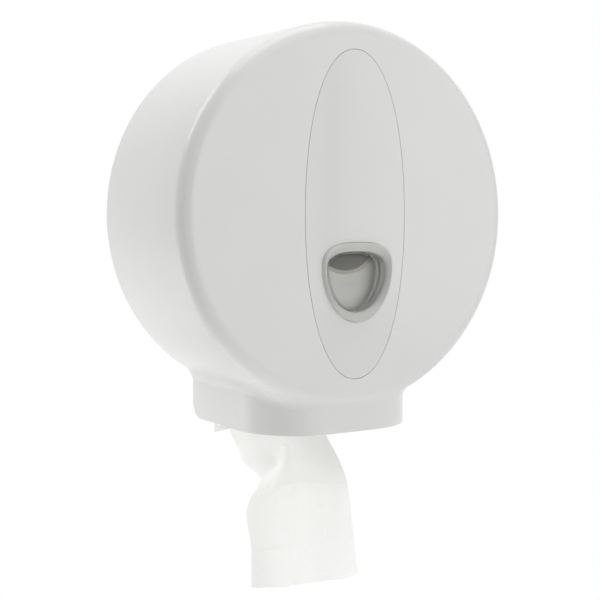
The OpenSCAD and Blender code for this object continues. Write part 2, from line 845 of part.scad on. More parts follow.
// One row of the tail, moved by side across its thickness.
function tail_row(v, side) =
    let (
        q = tail_line(v),
        narrowing = roll_width / tail_cut,
        left = [q[0], -q[1] * narrowing - roll_start, q[2]],
        right = [q[3], -q[4] * narrowing - roll_start, q[5]],
        out = unit([right[1] - left[1], left[0] - right[0], 0])
    )
    [for (j = [0:tail_across])
        let (u = j / tail_across)
        left + (right - left) * u + out * (q[6] * (sin(180 * u) + 0.25 * sin(540 * u)) + side * tail_t / 2)];

module tissue_tail() {
    rows = tail_between * (len(tail_lines) - 1);
    rings = [
        for (i = [0:rows])
            concat(tail_row(i / tail_between, -1), [for (j = [tail_across:-1:0]) tail_row(i / tail_between, 1)[j]])
    ];
    color("#f7f7f4") skin(rings);
}

// ---------------------------------------------------------------- drawing

back_plate();
hinge_pin(-1);  // hinge_pin_left
hinge_pin(1);  // hinge_pin_right
lock_strike();
strike_screw(-1);  // strike_screw_left
strike_screw(1);  // strike_screw_right
axle_post();
axle_screw(0);  // axle_screw_1
axle_screw(1);  // axle_screw_2
axle_screw(2);  // axle_screw_3
thrust_washer();
wave_washer();
axle_cap();
cap_screw();
mandrel();
core_tube();
paper_roll();
tissue_tail();
front_cover();
centre_panel();
window_bezel();
window_lens();
window_retainer();
retainer_screw(0);  // retainer_screw_1
retainer_screw(1);  // retainer_screw_2
retainer_screw(2);  // retainer_screw_3
retainer_screw(3);  // retainer_screw_4
lock_housing();
lock_clip();
lock_plug();
lock_cam();
cam_screw();
tear_strip(-1);  // tear_strip_left
tear_strip(1);  // tear_strip_right
tear_screw(-1, 0);  // tear_screw_1
tear_screw(-1, 1);  // tear_screw_2
tear_screw(1, 0);  // tear_screw_3
tear_screw(1, 1);  // tear_screw_4
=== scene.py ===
import math
import bpy
from mathutils import Matrix, Vector


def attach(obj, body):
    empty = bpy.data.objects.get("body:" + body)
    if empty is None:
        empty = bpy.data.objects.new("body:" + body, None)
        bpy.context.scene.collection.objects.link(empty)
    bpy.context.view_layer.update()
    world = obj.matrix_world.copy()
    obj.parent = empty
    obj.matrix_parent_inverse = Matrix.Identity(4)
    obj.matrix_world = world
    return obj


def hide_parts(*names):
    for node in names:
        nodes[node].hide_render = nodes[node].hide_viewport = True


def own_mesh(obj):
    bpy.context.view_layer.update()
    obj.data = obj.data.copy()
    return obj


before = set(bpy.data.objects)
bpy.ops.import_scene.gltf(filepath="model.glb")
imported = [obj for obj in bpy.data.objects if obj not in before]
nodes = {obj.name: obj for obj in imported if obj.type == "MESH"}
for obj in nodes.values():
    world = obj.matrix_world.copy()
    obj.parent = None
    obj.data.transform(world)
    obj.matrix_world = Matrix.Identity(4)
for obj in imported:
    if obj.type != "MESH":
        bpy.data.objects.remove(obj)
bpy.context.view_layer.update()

# Jumbo toilet roll dispenser: a drum-shaped cover of white ABS with a smoked window, a hanging tail
# of paper and a wound roll. Everything is in metres, in the frame of the solid model: Z is up, the
# front faces -Y, the wall is the plane y = 0, and the drum's axis runs through the origin.

scene = bpy.context.scene
MM = 0.001
WHITE = (1, 1, 1, 1)

# A mix of two tones has sockets with the same names, so they are known by their numbers: the share
# of the second tone, the two tones, and the tone that comes out.
SHARE, FIRST_TONE, SECOND_TONE, MIXED = 0, 6, 7, 2


# ---------------------------------------------------------------- small helpers
def ink(hex_code):
    """An sRGB hex colour as linear RGBA."""
    values = [int(hex_code[i:i + 2], 16) / 255 for i in (1, 3, 5)]
    return tuple(v / 12.92 if v <= 0.04045 else ((v + 0.055) / 1.055) ** 2.4 for v in values) + (1.0,)


def add(tree, kind, settings=None, links=None):
    """Adds one node. Its settings go by the name or number of a socket, or the name of a property,
    and its links by the name or number of a socket."""
    made = tree.nodes.new(kind)
    for name, value in (settings or {}).items():
        if isinstance(name, int) or name in made.inputs:
            made.inputs[name].default_value = value
        else:
            setattr(made, name, value)
    for name, socket in (links or {}).items():
        tree.links.new(socket, made.inputs[name])
    return made


def start_finish(name):
    """A new empty material, its node tree and its object coordinates, which are metres at rest."""
    finish = bpy.data.materials.new(name)
    finish.use_nodes = True
    tree = finish.node_tree
    tree.nodes.clear()
    place = add(tree, "ShaderNodeTexCoord").outputs["Object"]
    return finish, tree, place


def per_mm(size):
    """Texture scale for a pattern whose features are this many millimetres across."""
    return 1 / (size * MM)


def mesh_piece(name, points, faces, finish, smooth=True):
    """A piece made of these points and faces, in one finish."""
    mesh = bpy.data.meshes.new(name)
    mesh.from_pydata(points, [], faces)
    mesh.update()
    piece = bpy.data.objects.new(name, mesh)
    scene.collection.objects.link(piece)
    mesh.materials.append(finish)
    if smooth:
        mesh.polygons.foreach_set("use_smooth", [True] * len(mesh.polygons))
    return piece


# ---------------------------------------------------------------- camera
# The camera stands 32 degrees to the left of straight in front, level with the drum's middle.
CAMERA_AT = Vector((-0.49840, -0.85333, 0.00333))
CAMERA_AZIMUTH = math.radians(-32.2)
CAMERA_RISE = math.radians(0.2)

camera_data = bpy.data.cameras.new("camera")
camera = bpy.data.objects.new("camera", camera_data)
scene.collection.objects.link(camera)
scene.camera = camera
camera_data.sensor_width = 36
camera_data.lens = 74.87
camera_data.shift_x = -0.0168
camera_data.shift_y = -0.1439
camera_data.clip_start = 0.01
rightward = Vector((math.cos(CAMERA_AZIMUTH), math.sin(CAMERA_AZIMUTH), 0))
backward = Vector((
    math.sin(CAMERA_AZIMUTH) * math.cos(CAMERA_RISE),
    -math.cos(CAMERA_AZIMUTH) * math.cos(CAMERA_RISE),
    math.sin(CAMERA_RISE),
))
upward = backward.cross(rightward)
facing = Matrix((rightward, upward, backward)).transposed()
camera.matrix_world = Matrix.Translation(CAMERA_AT) @ facing.to_4x4()

scene.view_settings.view_transform = "Standard"


# ---------------------------------------------------------------- studio
DOME_STRENGTH = 0.415
DRUM_MIDDLE = (0, -0.06, 0)
FLOOR_Z = -0.70
FLOOR_R = 1.15
FLOOR_SIDES = 96
# The floor turns white between these two shares of its radius, and within them it is this white.
FADE_FROM, FADE_TO, WHITE_WITHIN = 0.45, 0.95, 0.35


def light_the_studio():
    """A bright tent: plain white to the lens, in gloss and through clear plastic, and a softer even
    light on the object from all round."""
    world = bpy.data.worlds.new("studio")
    scene.world = world
    world.use_nodes = True
    tree = world.node_tree
    tree.nodes.clear()
    path = add(tree, "ShaderNodeLightPath").outputs
    seen = path["Is Camera Ray"]
    for ray in ("Is Glossy Ray", "Is Transmission Ray"):
        seen = add(tree, "ShaderNodeMath", {"operation": "MAXIMUM"}, {0: seen, 1: path[ray]}).outputs[0]
    dome = add(tree, "ShaderNodeBackground", {"Color": WHITE, "Strength": DOME_STRENGTH})
    white = add(tree, "ShaderNodeBackground", {"Color": WHITE, "Strength": 1.0})
    both = add(tree, "ShaderNodeMixShader", links={0: seen, 1: dome.outputs[0], 2: white.outputs[0]})
    add(tree, "ShaderNodeOutputWorld", links={"Surface": both.outputs[0]})


def softbox(name, centre, side, watts, towards=DRUM_MIDDLE, in_gloss=True, spread=180):
    """A square lamp. A grid on its front narrows the light to the spread, in degrees."""
    data = bpy.data.lights.new(name, "AREA")
    data.shape = "SQUARE"
    data.size = side
    data.energy = watts
    data.spread = math.radians(spread)
    box = bpy.data.objects.new(name, data)
    scene.collection.objects.link(box)
    box.location = centre
    box.rotation_euler = (Vector(towards) - Vector(centre)).to_track_quat("-Z", "Y").to_euler()
    box.visible_glossy = in_gloss


def studio_floor():
    """A round sheet of white paper under the object. It keeps the object's shadow in its middle, and
    towards its rim it turns as white to the lens as the tent, so that no horizon shows."""
    finish, tree, place = start_finish("studio_paper")
    speck = add(tree, "ShaderNodeTexNoise", {"Scale": per_mm(30), "Detail": 3.0}, {"Vector": place})
    tone = add(tree, "ShaderNodeMix",
               {"data_type": "RGBA", FIRST_TONE: ink("#F2F2F1"), SECOND_TONE: ink("#F6F6F5")},
               {SHARE: speck.outputs["Fac"]})
    paper = add(tree, "ShaderNodeBsdfPrincipled", {"Roughness": 0.9, "Specular IOR Level": 0.1},
                {"Base Color": tone.outputs[MIXED]})
    flat_place = add(tree, "ShaderNodeMapping", {"Scale": (1.0, 1.0, 0.0)}, {"Vector": place})
    far = add(tree, "ShaderNodeVectorMath", {"operation": "LENGTH"}, {0: flat_place.outputs[0]})
    fade = add(tree, "ShaderNodeMapRange",
               {"interpolation_type": "SMOOTHSTEP", "From Min": FLOOR_R * FADE_FROM,
                "From Max": FLOOR_R * FADE_TO, "To Min": WHITE_WITHIN, "To Max": 1.0},
               {"Value": far.outputs["Value"]})
    path = add(tree, "ShaderNodeLightPath").outputs["Is Camera Ray"]
    seen = add(tree, "ShaderNodeMath", {"operation": "MULTIPLY"}, {0: path, 1: fade.outputs["Result"]})
    white = add(tree, "ShaderNodeEmission", {"Color": WHITE, "Strength": 1.0})
    both = add(tree, "ShaderNodeMixShader",
               links={0: seen.outputs[0], 1: paper.outputs[0], 2: white.outputs[0]})
    add(tree, "ShaderNodeOutputMaterial", links={"Surface": both.outputs[0]})
    turns = [2 * math.pi * i / FLOOR_SIDES for i in range(FLOOR_SIDES)]
    rim = [(FLOOR_R * math.cos(a), FLOOR_R * math.sin(a), FLOOR_Z) for a in turns]
    mesh_piece("studio_floor", rim, [tuple(range(FLOOR_SIDES))], finish, smooth=False)


light_the_studio()
softbox("top_softbox", centre=(0.0, -0.10, 1.15), side=0.9, watts=4.6)
softbox("rear_top_softbox", centre=(0.0, 0.8, 1.0), side=0.8, watts=0.6)
softbox("floor_softbox", centre=(0.0, -0.15, -0.60), side=0.9, watts=1.35)
softbox("low_left_softbox", centre=(-0.7, 0.5, -0.45), side=0.5, watts=0.5)
softbox("high_left_softbox", centre=(-0.7, 0.5, 0.8), side=0.6, watts=3.1)
softbox("front_right_softbox", centre=(0.95, -1.0, 0.2), side=0.8, watts=2.15)
softbox("front_softbox", centre=(0.1, -1.35, 0.1), side=0.8, watts=2.15)
softbox("high_front_softbox", centre=(0.1, -1.0, 0.95), side=0.8, watts=2.0)

# Three small lamps shine in under the drum: two from the right on the paper, one on the foot's left.
softbox("paper_softbox", centre=(0.38, 0.42, -0.40), side=0.3, watts=0.5,
        towards=(-0.02, -0.06, -0.18), in_gloss=False)
softbox("paper_grid", centre=(0.33, 0.0, -0.24), side=0.08, watts=0.027,
        towards=(-0.02, -0.05, -0.178), in_gloss=False, spread=34)
softbox("foot_fill", centre=(-0.50, 0.38, -0.30), side=0.25, watts=1.3,
        towards=(0, -0.03, -0.16), in_gloss=False)
studio_floor()


# ---------------------------------------------------------------- finishes
def moulded_plastic(name, colour, deeper, roughness, grain_mm, grain_depth_mm, ior=1.53):
    """Injection-moulded plastic: an even colour with a faint cloud from the melt, a fine skin that
    breaks up reflections, and a slow waviness where the wall shrank."""
    finish, tree, place = start_finish(name)
    cloud = add(tree, "ShaderNodeTexNoise",
                {"Scale": per_mm(45), "Detail": 2.0, "Roughness": 0.4}, {"Vector": place})
    tone = add(tree, "ShaderNodeMix",
               {"data_type": "RGBA", FIRST_TONE: ink(colour), SECOND_TONE: ink(deeper)},
               {SHARE: cloud.outputs["Fac"]})
    skin = add(tree, "ShaderNodeTexNoise",
               {"Scale": per_mm(grain_mm), "Detail": 4.0, "Roughness": 0.6}, {"Vector": place})
    wave = add(tree, "ShaderNodeTexNoise", {"Scale": per_mm(60), "Detail": 1.0}, {"Vector": place})
    slow = add(tree, "ShaderNodeBump", {"Strength": 0.25, "Distance": 0.6 * MM},
               {"Height": wave.outputs["Fac"]})
    fine = add(tree, "ShaderNodeBump", {"Strength": 0.4, "Distance": grain_depth_mm * MM},
               {"Height": skin.outputs["Fac"], "Normal": slow.outputs["Normal"]})
    gloss = add(tree, "ShaderNodeMapRange", {"To Min": roughness * 0.88, "To Max": roughness * 1.14},
                {"Value": skin.outputs["Fac"]})
    body = add(tree, "ShaderNodeBsdfPrincipled", {"IOR": ior},
               {"Base Color": tone.outputs[MIXED], "Roughness": gloss.outputs["Result"],
                "Normal": fine.outputs["Normal"]})
    add(tree, "ShaderNodeOutputMaterial", links={"Surface": body.outputs[0]})
    return finish


def plated_metal(name, colour, deeper, roughness, line_mm, stretch):
    """Plated, cast or cut metal: fine lines left by rolling, turning or polishing, drawn out by the
    stretch along each axis, and a little cloud in the surface."""
    finish, tree, place = start_finish(name)
    drawn = add(tree, "ShaderNodeMapping", {"Scale": stretch}, {"Vector": place})
    lines = add(tree, "ShaderNodeTexNoise", {"Scale": per_mm(line_mm), "Detail": 3.0},
                {"Vector": drawn.outputs[0]})
    cloud = add(tree, "ShaderNodeTexNoise", {"Scale": per_mm(6), "Detail": 2.0}, {"Vector": place})
    tone = add(tree, "ShaderNodeMix",
               {"data_type": "RGBA", FIRST_TONE: ink(colour), SECOND_TONE: ink(deeper)},
               {SHARE: cloud.outputs["Fac"]})
    gloss = add(tree, "ShaderNodeMapRange", {"To Min": roughness * 0.75, "To Max": roughness * 1.3},
                {"Value": lines.outputs["Fac"]})
    ridge = add(tree, "ShaderNodeBump", {"Strength": 0.3, "Distance": 0.04 * MM},
                {"Height": lines.outputs["Fac"]})
    body = add(tree, "ShaderNodeBsdfPrincipled", {"Metallic": 1.0},
               {"Base Color": tone.outputs[MIXED], "Roughness": gloss.outputs["Result"],
                "Normal": ridge.outputs["Normal"]})
    add(tree, "ShaderNodeOutputMaterial", links={"Surface": body.outputs[0]})
    return finish


def smoked_clear(name, tint, steep_wall_painted_light, veil, roughness, ior, led):
    """Smoked polycarbonate: a grey veil over what lies behind, under a soft gloss, with a slow ripple
    left by the mould. Veil is the share of light that the smoke in one skin of the wall stops. The
    steep walls take a paler tone than the flats: painted light, which lightens the walls that face
    sideways inside the window. Led is the share of light that the plastic carries inside itself and
    lets out elsewhere, so a thick frame glows in its own shade."""
    finish, tree, place = start_finish(name)
    ripple = add(tree, "ShaderNodeTexNoise", {"Scale": per_mm(9), "Detail": 1.5}, {"Vector": place})
    bump = add(tree, "ShaderNodeBump", {"Strength": 0.15, "Distance": 0.2 * MM},
               {"Height": ripple.outputs["Fac"]})
    forward = add(tree, "ShaderNodeVectorMath", {"operation": "DOT_PRODUCT", 1: (0.0, -1.0, 0.0)},
                  {0: add(tree, "ShaderNodeTexCoord").outputs["Normal"]})
    flatness = add(tree, "ShaderNodeMath", {"operation": "ABSOLUTE"}, {0: forward.outputs["Value"]})
    # painted light: the steeper the wall, the more of the paler second tone it takes
    steep = add(tree, "ShaderNodeMapRange",
                {"interpolation_type": "SMOOTHSTEP", "From Min": 0.75, "From Max": 0.0},
                {"Value": flatness.outputs[0]})
    tone = add(tree, "ShaderNodeMix",
               {"data_type": "RGBA", FIRST_TONE: ink(tint), SECOND_TONE: ink(steep_wall_painted_light)},
               {SHARE: steep.outputs["Result"]})
    cloudy = add(tree, "ShaderNodeMix", {"data_type": "RGBA", "blend_type": "MULTIPLY", SHARE: 0.06},
                 {FIRST_TONE: tone.outputs[MIXED], SECOND_TONE: ripple.outputs["Color"]})
    smoke = add(tree, "ShaderNodeBsdfPrincipled",
                {"Specular IOR Level": 0.0, "Roughness": 0.6, "Alpha": veil},
                {"Base Color": cloudy.outputs[MIXED], "Normal": bump.outputs["Normal"]})
    glow = add(tree, "ShaderNodeBsdfTranslucent",
               links={"Color": cloudy.outputs[MIXED], "Normal": bump.outputs["Normal"]})
    plastic = add(tree, "ShaderNodeMixShader", {0: led}, {1: smoke.outputs[0], 2: glow.outputs[0]})
    shine = add(tree, "ShaderNodeBsdfGlossy", {"Roughness": roughness},
                {"Normal": bump.outputs["Normal"]})
    edge_on = add(tree, "ShaderNodeFresnel", {"IOR": ior}, {"Normal": bump.outputs["Normal"]})
    both = add(tree, "ShaderNodeMixShader",
               links={0: edge_on.outputs[0], 1: plastic.outputs[0], 2: shine.outputs[0]})
    add(tree, "ShaderNodeOutputMaterial", links={"Surface": both.outputs[0]})
    return finish


def grey_board(name):
    """Spiral-wound grey board: pale brown plies with long fibres, and a slow swell that climbs round
    the tube where the plies overlap."""
    finish, tree, place = start_finish(name)
    long_way = add(tree, "ShaderNodeMapping",
                   {"Rotation": (0.0, 0.0, 0.6), "Scale": (1.0, 6.0, 1.0)}, {"Vector": place})
    fibre = add(tree, "ShaderNodeTexNoise",
                {"Scale": per_mm(2.5), "Detail": 6.0, "Roughness": 0.7},
                {"Vector": long_way.outputs[0]})
    tone = add(tree, "ShaderNodeMix",
               {"data_type": "RGBA", FIRST_TONE: ink("#D9D2C4"), SECOND_TONE: ink("#C8BFAE")},
               {SHARE: fibre.outputs["Fac"]})
    # Slanting waves at scale 1 lie 0.628 apart, so at this scale they lie 237 mm apart along an axis.
    swell = add(tree, "ShaderNodeTexWave",
                {"Scale": 0.628 * per_mm(236.63), "Distortion": 0.4, "bands_direction": "DIAGONAL"},
                {"Vector": place})
    relief = add(tree, "ShaderNodeMath", {"operation": "ADD"},
                 {0: fibre.outputs["Fac"], 1: swell.outputs["Fac"]})
    bump = add(tree, "ShaderNodeBump", {"Strength": 0.4, "Distance": 0.12 * MM},
               {"Height": relief.outputs[0]})
    body = add(tree, "ShaderNodeBsdfPrincipled", {"Roughness": 0.92, "Specular IOR Level": 0.25},
               {"Base Color": tone.outputs[MIXED], "Normal": bump.outputs["Normal"]})
    add(tree, "ShaderNodeOutputMaterial", links={"Surface": body.outputs[0]})
    return finish


def two_ply_tissue(name, emboss_mm, through):
    """Two-ply crepe tissue: soft white, with fine crepe folds across it and a small dot emboss, drawn
    about twice as coarse as the real one so that it shows. Through is the share of light that comes
    through the sheet."""
    finish, tree, place = start_finish(name)
    fibre = add(tree, "ShaderNodeTexNoise",
                {"Scale": per_mm(1.6), "Detail": 5.0, "Roughness": 0.65}, {"Vector": place})
    folds = add(tree, "ShaderNodeMapping", {"Scale": (0.35, 0.35, 1.6)}, {"Vector": place})
    crepe = add(tree, "ShaderNodeTexNoise", {"Scale": per_mm(0.9), "Detail": 2.0},
                {"Vector": folds.outputs[0]})
    dots = add(tree, "ShaderNodeTexVoronoi", {"Scale": per_mm(emboss_mm), "Randomness": 0.35},
               {"Vector": place})
    relief = add(tree, "ShaderNodeMath", {"operation": "ADD"},
                 {0: crepe.outputs["Fac"], 1: dots.outputs["Distance"]})
    bump = add(tree, "ShaderNodeBump", {"Strength": 0.45, "Distance": 0.45 * MM},
               {"Height": relief.outputs[0]})
    tone = add(tree, "ShaderNodeMix",
               {"data_type": "RGBA", FIRST_TONE: ink("#F5F5F4"), SECOND_TONE: ink("#EEEEEB")},
               {SHARE: fibre.outputs["Fac"]})
    sheet = add(tree, "ShaderNodeBsdfPrincipled",
                {"Roughness": 0.95, "Specular IOR Level": 0.1, "Sheen Weight": 0.15},
                {"Base Color": tone.outputs[MIXED], "Normal": bump.outputs["Normal"]})
    glow = add(tree, "ShaderNodeBsdfTranslucent",
               links={"Color": tone.outputs[MIXED], "Normal": bump.outputs["Normal"]})
    both = add(tree, "ShaderNodeMixShader", {0: through}, {1: sheet.outputs[0], 2: glow.outputs[0]})
    add(tree, "ShaderNodeOutputMaterial", links={"Surface": both.outputs[0]})
    return finish


def wound_edge(name, axis_z, layer_mm):
    """The end of the roll: hundreds of layers on edge, drawn coarser than the real 0.1 mm so that the
    rings show, with bands where the winding was tighter."""
    finish, tree, place = start_finish(name)
    centred = add(tree, "ShaderNodeMapping",
                  {"Location": (0.0, 0.0, -axis_z), "Scale": (1.0, 0.0, 1.0)}, {"Vector": place})
    radius = add(tree, "ShaderNodeVectorMath", {"operation": "LENGTH"}, {0: centred.outputs[0]})
    rings = add(tree, "ShaderNodeTexNoise",
                {"noise_dimensions": "1D", "Scale": per_mm(layer_mm), "Detail": 3.0},
                {"W": radius.outputs["Value"]})
    bands = add(tree, "ShaderNodeTexNoise",
                {"noise_dimensions": "1D", "Scale": per_mm(7), "Detail": 2.0},
                {"W": radius.outputs["Value"]})
    fluff = add(tree, "ShaderNodeTexNoise", {"Scale": per_mm(1.2), "Detail": 4.0}, {"Vector": place})
    # the rings, at 0.6 of their strength, over the bands
    shade = add(tree, "ShaderNodeMath", {"operation": "MULTIPLY_ADD", 1: 0.6},
                {0: rings.outputs["Fac"], 2: bands.outputs["Fac"]})
    tone = add(tree, "ShaderNodeMix",
               {"data_type": "RGBA", FIRST_TONE: ink("#E4E3DE"), SECOND_TONE: ink("#FAFAF7")},
               {SHARE: shade.outputs[0]})
    relief = add(tree, "ShaderNodeMath", {"operation": "ADD"},
                 {0: rings.outputs["Fac"], 1: fluff.outputs["Fac"]})
    bump = add(tree, "ShaderNodeBump", {"Strength": 0.5, "Distance": 0.4 * MM},
               {"Height": relief.outputs[0]})
    body = add(tree, "ShaderNodeBsdfPrincipled", {"Roughness": 0.95, "Specular IOR Level": 0.1},
               {"Base Color": tone.outputs[MIXED], "Normal": bump.outputs["Normal"]})
    add(tree, "ShaderNodeOutputMaterial", links={"Surface": body.outputs[0]})
    return finish


# The roll, in millimetres. Its axis lies below the drum's, and its ends stand off from the wall.
ROLL_Z = -12.7
ROLL_BORE = 30.2
ROLL_R = 100.0
ROLL_REAR = 17.0
ROLL_FRONT = 110.0

# Cover and panel are polished mouldings that mirror the studio softly. The back plate is duller, with
# the coarser skin of a part that nobody sees. Acetal and nylon are the waxy plastics of the bearings.
white_abs = moulded_plastic("moulded_white_abs", "#E6E6E5", "#E2E2E1",
                            roughness=0.24, grain_mm=0.6, grain_depth_mm=0.02)
panel_abs = moulded_plastic("moulded_panel_abs", "#E2E3E1", "#DFE0DE",
                            roughness=0.20, grain_mm=0.6, grain_depth_mm=0.015)
back_abs = moulded_plastic("moulded_back_abs", "#DDDDDB", "#D6D6D4",
                           roughness=0.42, grain_mm=1.2, grain_depth_mm=0.05)
grey_acetal = moulded_plastic("moulded_grey_acetal", "#C9CAC9", "#BFC0BF",
                              roughness=0.35, grain_mm=0.8, grain_depth_mm=0.03, ior=1.48)
black_nylon = moulded_plastic("moulded_black_nylon", "#2A2A2B", "#202021",
                              roughness=0.45, grain_mm=0.9, grain_depth_mm=0.04)

# Zinc plating is pale and soft, spring steel dark and smooth, stainless steel brushed one way, the
# chromed lock bright, and the cast cap dull and even.
zinc_steel = plated_metal("zinc_plated_steel", "#C9CCD0", "#B6BABF",
                          roughness=0.30, line_mm=0.5, stretch=(1.0, 8.0, 1.0))
spring_steel = plated_metal("spring_steel", "#A9ACAF", "#97999C",
                            roughness=0.24, line_mm=0.4, stretch=(8.0, 1.0, 1.0))
cut_steel = plated_metal("stamped_stainless_steel", "#BFC1C4", "#ACAEB1",
                         roughness=0.26, line_mm=0.4, stretch=(1.0, 10.0, 1.0))
chromed_zinc = plated_metal("chromed_zinc", "#D4D6D9", "#C4C6C9",
                            roughness=0.10, line_mm=0.8, stretch=(1.0, 1.0, 6.0))
cast_zinc = plated_metal("die_cast_zinc", "#A7AAAD", "#96999C",
                         roughness=0.38, line_mm=0.9, stretch=(1.0, 1.0, 1.0))

# The window's frame is thick and nearly solid to the eye. Its lens is thin and nearly clear. The
# second tone of each is painted light, laid on its steep walls to lighten them.
smoke_frame = smoked_clear("smoked_polycarbonate_frame", "#E0E1DD", "#EEEEEC",
                           veil=0.84, roughness=0.14, ior=1.50, led=0.08)
smoke_lens = smoked_clear("smoked_polycarbonate_lens", "#E2E5D8", "#EDEEE8",
                          veil=0.04, roughness=0.30, ior=1.45, led=0.03)
core_board = grey_board("spiral_wound_grey_board")
tissue = two_ply_tissue("two_ply_crepe_tissue", emboss_mm=3.2, through=0.42)
roll_edge = wound_edge("wound_tissue_edge", axis_z=ROLL_Z * MM, layer_mm=0.5)

# The screws aren't named here: they are all zinc-plated steel. The two solids of paper are replaced
# further down.
finishes = {
    "back_plate": back_abs, "front_cover": white_abs, "centre_panel": panel_abs,
    "window_bezel": smoke_frame, "window_lens": smoke_lens, "window_retainer": white_abs,
    "axle_post": grey_acetal, "mandrel": grey_acetal, "axle_cap": cast_zinc,
    "thrust_washer": black_nylon, "wave_washer": spring_steel, "core_tube": core_board,
    "lock_housing": chromed_zinc, "lock_plug": chromed_zinc, "lock_clip": spring_steel,
    "lock_cam": zinc_steel, "lock_strike": zinc_steel,
    "tear_strip_left": cut_steel, "tear_strip_right": cut_steel,
    "hinge_pin_left": cut_steel, "hinge_pin_right": cut_steel,
}
for name, node in nodes.items():
    finish = finishes.get(name, zinc_steel)
    if not node.material_slots:
        node.data.materials.append(finish)
    for place in node.material_slots:
        place.material = finish


# ---------------------------------------------------------------- smooth surfaces on the solid parts
SMOOTH_TURN = math.radians(26)
WELD_MM = 0.002


def smoothing_tree(limit):
    """Joins the faces' borders and shades smoothly over every edge that turns less than the limit."""
    tree = bpy.data.node_groups.new("smooth_below_limit", "GeometryNodeTree")
    tree.interface.new_socket("Geometry", in_out="INPUT", socket_type="NodeSocketGeometry")
    tree.interface.new_socket("Geometry", in_out="OUTPUT", socket_type="NodeSocketGeometry")
    given = add(tree, "NodeGroupInput").outputs[0]
    welded = add(tree, "GeometryNodeMergeByDistance", {"Distance": WELD_MM * MM}, {"Geometry": given})
    turn = add(tree, "GeometryNodeInputMeshEdgeAngle").outputs["Unsigned Angle"]
    sharp = add(tree, "FunctionNodeCompare",
                {"data_type": "FLOAT", "operation": "GREATER_THAN", 1: limit}, {0: turn})
    shaded = add(tree, "GeometryNodeSetMeshNormal", {"mode": "SHARPNESS", "Remove Custom": True},
                 {"Mesh": welded.outputs[0], "Edge Sharpness": sharp.outputs[0]})
    add(tree, "NodeGroupOutput", links={0: shaded.outputs[0]})
    return tree


smooth_below_limit = smoothing_tree(SMOOTH_TURN)
for node in nodes.values():
    node.modifiers.new("smooth", "NODES").node_group = smooth_below_limit
    even = node.modifiers.new("even", "WEIGHTED_NORMAL")
    even.keep_sharp = True
    even.weight = 100


# ---------------------------------------------------------------- the hanging paper
MOUTH_Z = -154.7
TAIL_DROP = 120.0
TAIL_ROWS = 300
TAIL_COLUMNS = 110
# Between its edges the sheet swells in an arch, whose shoulders are filled out by this share.
SHOULDERS = 0.25


def below_mouth(share):
    """Height of the point that is this share of the way from the mouth to the torn edge."""
    return MOUTH_Z - TAIL_DROP * share


# The left and right edge of the paper at each line, in millimetres: x, distance forward of the
# roll's rear face, and z for each edge, then how far the sheet swells between them.
TAIL_LINES = [
    (-87.2, 0, -64, -87.2, 93, -64, 0),
    (-67, 1, -98, -64, 92, -98, 1),
    (-50, 4, -136, -28, 90, -134, 3),
    (-43, -1, below_mouth(0.09), -14, 89, below_mouth(0.03), 4),
    (-38, 3, below_mouth(0.21), -2, 81, below_mouth(0.14), 7),
    (-36, 11, below_mouth(0.30), 11, 71, below_mouth(0.26), 10),
    (-31, 23, below_mouth(0.39), 21, 63, below_mouth(0.38), 11),
    (-44, 33, below_mouth(0.46), 27, 57, below_mouth(0.49), 10),
    (-50, 37, below_mouth(0.55), 31, 54, below_mouth(0.60), 9),
    (-47.5, 39, below_mouth(0.75), 35, 53, below_mouth(0.81), 8),
    (-47, 39, below_mouth(1.0), 38.5, 52, below_mouth(1.0), 7),
]
LAST_LINE = len(TAIL_LINES) - 1

# Soft forms pressed into the sheet. Each runs along a line of points (v, u): v counts the lines
# above, which lie about LINE_MM apart, and u goes from the left edge to the right, SHEET_W away. It
# stands up by a height, over a width on its upper side and one on its lower side, in millimetres.
SHEET_W = 93.0
LINE_MM = 17.0
PAPER_FORMS = [
    # the brow over the pocket at the left, the pocket, and the ridge that runs down into it
    ([(4.5, -0.05), (4.35, 0.3)], 1.3, 9, 5),
    ([(6.0, -0.02), (5.6, 0.12), (4.95, 0.34)], -6.0, 13, 3.5),
    ([(3.7, 0.58), (4.6, 0.50), (5.4, 0.36), (6.1, 0.18)], 2.0, 4, 4),
    # the line of perforations
    ([(6.12, 0.2), (5.85, 0.5), (6.1, 1.05)], -0.45, 1.0, 1.0),
    # the long soft swell from the mouth to the torn edge
    ([(2.5, 0.78), (4.0, 0.69), (5.0, 0.58), (6.0, 0.46), (8.0, 0.45), (10.0, 0.42)], 1.2, 9, 9),
    # the lip of the lower crease, and the groove under its right half
    ([(9.15, -0.05), (8.95, 0.35), (8.78, 0.6), (8.74, 1.05)], 1.0, 1.8, 1.4),
    ([(9.2, 0.4), (9.0, 0.6), (8.98, 0.85), (8.9, 1.05)], -0.6, 1.1, 1.1),
]

# The torn edge is the sum of three waves, each with its height in millimetres, its radians across
# the sheet and its start. It fades out over this share of a line above the edge.
TORN_WAVES = [(0.25, 21, 0), (0.15, 57, 1), (0.1, 133, 0)]
TORN_FADE = 0.3

# The corner of the sheet that is folded back behind the foot: its four corners, in millimetres, and
# the way that it bulges.
FOLD_CORNERS = [
    (-52.0, -6.0, -147.0), (-40.0, -20.0, -150.0), (-40.5, -20.0, -162.5), (-51.6, -6.3, -167.0),
]
FOLD_BULGE = Vector((-0.5, -0.5, 0))
FOLD_STEPS = 8


def smooth_line(a, b, c, d, t):
    """A smooth curve through four lines that follow each other, at t of the way from b to c."""
    return tuple(
        q + 0.5 * t * ((r - p) + t * ((2 * p - 5 * q + 4 * r - s) + t * (3 * q - p - 3 * r + s)))
        for p, q, r, s in zip(a, b, c, d)
    )


def tail_line(v):
    """The line at v, which counts the lines from the top and may lie between two."""
    i = min(int(v), LAST_LINE - 1)
    before, after = max(i - 1, 0), min(i + 2, LAST_LINE)
    return smooth_line(TAIL_LINES[before], TAIL_LINES[i], TAIL_LINES[i + 1], TAIL_LINES[after], v - i)


